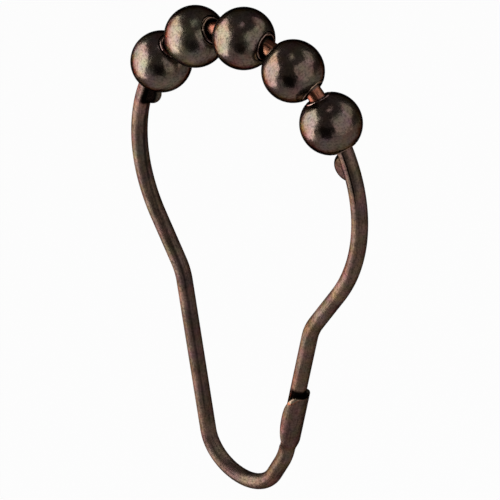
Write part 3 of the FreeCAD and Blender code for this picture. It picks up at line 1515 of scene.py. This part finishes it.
    def _mark(self, ball: bpy.types.Object) -> None:
        """Wear the rolled rims, paint shade into the holes and grooves, lay the grain.

        Args:
            ball: The ball at the origin, with its bore along Z.
        """
        row = self.row
        wear_and_highlights, painted_shades, grains = [], [], []
        for vertex in ball.data.vertices:
            place = vertex.co
            radius = math.hypot(place.x, place.y)
            off_rim = math.hypot(radius - row.rim_radius, abs(place.z) - row.rim_height)
            crest = self.crest_spread.fall(off_rim / row.rim_tube)
            # Painted shade in the groove and down the bore.
            sunk = self.sunk_depth.rise(row.ball_radius - place.length) * (1.0 - crest)
            hole = self.hole_spread.fall(radius - row.bore_radius)
            wear_and_highlights.append(crest * (1.0 - hole) * self.crest_wear)
            painted_shades.append(max(sunk, hole))
            grain = (place.z / MM * self.grain_along, radius / MM * self.grain_across, 0.0)
            grains.append(grain)
        carry(ball, "wear_and_highlight", "FLOAT", wear_and_highlights)
        carry(ball, "painted_shade", "FLOAT", painted_shades)
        carry(ball, "grain", "FLOAT_VECTOR", grains)


def circle_centre(first: Vector, second: Vector, third: Vector) -> Vector:
    """Centre of the circle through three points of the X-Z plane.

    Args:
        first: One point.
        second: Another.
        third: The last.

    Returns:
        The centre.
    """
    ax, az = second.x - first.x, second.z - first.z
    bx, bz = third.x - first.x, third.z - first.z
    twice = 2 * (ax * bz - az * bx)
    a_square, b_square = ax * ax + az * az, bx * bx + bz * bz
    x = (bz * a_square - az * b_square) / twice
    z = (ax * b_square - bx * a_square) / twice
    return Vector((first.x + x, 0.0, first.z + z))


# Studio


@dataclass
class StudioCamera:
    """Camera at the photograph's viewing angle."""

    target: Vector = field(default_factory=lambda: Vector((0.486, 0.0, -18.551)) * MM)
    azimuth: float = 37.25
    elevation: float = 35.43
    roll: float = 0.62
    distance: float = 640.0 * MM
    lens: float = 335.1
    sensor_width: float = 36.0
    nearest: float = 0.05
    farthest: float = 50.0

    def axes(self) -> tuple[Vector, Vector, Vector]:
        """Right, up and back of the camera.

        Returns:
            Three unit vectors.
        """
        turn, lift = math.radians(self.azimuth), math.radians(self.elevation)
        flat = math.cos(lift)
        back = Vector((math.sin(turn) * flat, -math.cos(turn) * flat, math.sin(lift)))
        right = Vector((math.cos(turn), math.sin(turn), 0.0))
        up = back.cross(right)
        tilt = math.radians(self.roll)
        level = right * math.cos(tilt) + up * math.sin(tilt)
        return level, up * math.cos(tilt) - right * math.sin(tilt), back

    def build(self) -> None:
        """Add the camera and make it the scene's."""
        data = bpy.data.cameras.new("studio_camera")
        data.lens = self.lens
        data.sensor_width = self.sensor_width
        data.clip_start = self.nearest
        data.clip_end = self.farthest
        camera = bpy.data.objects.new("studio_camera", data)
        bpy.context.scene.collection.objects.link(camera)
        right, up, back = self.axes()
        turn = Matrix((right, up, back)).transposed().to_4x4()
        camera.matrix_world = Matrix.Translation(self.target + back * self.distance) @ turn
        bpy.context.scene.camera = camera


@dataclass(frozen=True)
class Softbox:
    """A flat studio lamp that faces the hook."""

    name: str
    way: Way
    distance: float
    width: float
    height: float
    radiance: float

    def build(self, target: Vector) -> None:
        """Add the lamp, at a power that gives its face the stated radiance.

        Args:
            target: The point that the lamp faces.
        """
        data = bpy.data.lights.new(self.name, "AREA")
        data.shape = "RECTANGLE"
        data.size = self.width
        data.size_y = self.height
        data.energy = self.radiance * math.pi * self.width * self.height
        lamp = bpy.data.objects.new(self.name, data)
        bpy.context.scene.collection.objects.link(lamp)
        away = Vector(self.way).normalized()
        lamp.location = target + away * self.distance
        lamp.rotation_mode = "QUATERNION"
        lamp.rotation_quaternion = away.to_track_quat("Z", "Y")
        lamp.visible_camera = False


@dataclass
class Studio:
    """Pale floor, softboxes, a black card and a dim room."""

    target: Vector = field(default_factory=lambda: Vector((0.0, 0.0, -18.0)) * MM)
    floor_height: float = -700.0 * MM
    floor_size: float = 9.0
    floor_colour: Colour = (0.9, 0.9, 0.9)
    floor_white: float = 0.97
    floor_gleam: float = 0.38
    room_colour: Colour = (1.0, 0.98, 0.96)
    room_light: float = 0.1
    white: Colour = (1.0, 1.0, 1.0)
    card_colour: Colour = (0.02, 0.018, 0.016)
    card_way: Way = (0.425, -0.900, 0.110)
    card_distance: float = 0.13
    card_size: float = 0.102
    lamps: tuple = (
        Softbox("left_softbox", (-0.87, -0.49, -0.02), 0.42, 0.66, 0.73, 4.15),
        Softbox("right_card", (0.90, -0.06, 0.42), 0.80, 1.05, 0.95, 0.86),
        Softbox("rear_window", (0.40, 0.63, 0.62), 0.80, 0.60, 0.45, 0.85),
        Softbox("top_lamp", (-0.02, -0.12, 0.99), 0.90, 0.22, 0.22, 1.1),
    )

    def build(self) -> None:
        """Add the floor, the lamps and the room's light."""
        for lamp in self.lamps:
            lamp.build(self.target)
        self._floor()
        self._black_card()
        self._room()

    def _floor(self) -> None:
        """Large pale floor that keeps a soft shadow."""
        bpy.ops.object.select_all(action="DESELECT")
        bpy.ops.mesh.primitive_plane_add(size=self.floor_size, location=(0, 0, self.floor_height))
        floor = bpy.context.active_object
        floor.name = "studio_floor"
        made, graph = new_material("pale_floor")
        camera = graph.add("ShaderNodeLightPath", {}, {}, "Is Camera Ray")
        glossy = graph.add("ShaderNodeLightPath", {}, {}, "Is Glossy Ray")
        seen = camera * self.floor_white + glossy * self.floor_gleam
        matt = graph.add("ShaderNodeBsdfDiffuse", {}, {"Color": rgba(self.floor_colour)})
        white = {"Color": rgba(self.white), "Strength": 1.0}
        glow = graph.add("ShaderNodeEmission", {}, white)
        mixed = graph.add("ShaderNodeMixShader", {}, {0: seen, 1: matt, 2: glow})
        graph.add("ShaderNodeOutputMaterial", {}, {"Surface": mixed})
        floor.data.materials.append(made)

    def _black_card(self) -> None:
        """Small black card close in front of the hook, which the metal reflects."""
        away = Vector(self.card_way).normalized()
        bpy.ops.object.select_all(action="DESELECT")
        bpy.ops.mesh.primitive_plane_add(size=self.card_size)
        card = bpy.context.active_object
        card.name = "black_card"
        turn = away.to_track_quat("Z", "Y").to_matrix().to_4x4()
        card.data.transform(Matrix.Translation(self.target + away * self.card_distance) @ turn)
        made, graph = new_material("black_card")
        matt = graph.add("ShaderNodeBsdfDiffuse", {}, {"Color": rgba(self.card_colour)})
        graph.add("ShaderNodeOutputMaterial", {}, {"Surface": matt})
        card.data.materials.append(made)
        card.visible_camera = False

    def _room(self) -> None:
        """Dim grey light from all round, white to the camera."""
        world = bpy.data.worlds.new("studio_room")
        bpy.context.scene.world = world
        world.use_nodes = True
        graph = Graph(world.node_tree)
        dim = {"Color": rgba(self.room_colour), "Strength": self.room_light}
        glow = graph.add("ShaderNodeBackground", {}, dim)
        bright = {"Color": rgba(self.white), "Strength": 1.0}
        white = graph.add("ShaderNodeBackground", {}, bright)
        camera = graph.add("ShaderNodeLightPath", {}, {}, "Is Camera Ray")
        mixed = graph.add("ShaderNodeMixShader", {}, {0: camera, 1: glow, 2: white})
        graph.add("ShaderNodeOutputWorld", {}, {"Surface": mixed})


def main() -> None:
    """Build the hook, its balls and the studio."""
    logging.basicConfig(level=logging.INFO, format="%(name)s: %(message)s")
    bpy.context.scene.view_settings.view_transform = "Standard"
    line = LoopLine()
    row = BallRow(line.crown_radius)
    hook = WireHook(line, row).build()
    LOG.info("%s: %d faces", hook.name, len(hook.data.polygons))
    for ball in RollerBalls(line, row).build():
        LOG.info("%s: %d faces", ball.name, len(ball.data.polygons))
    StudioCamera().build()
    Studio().build()


if __name__ == "__main__":
    main()
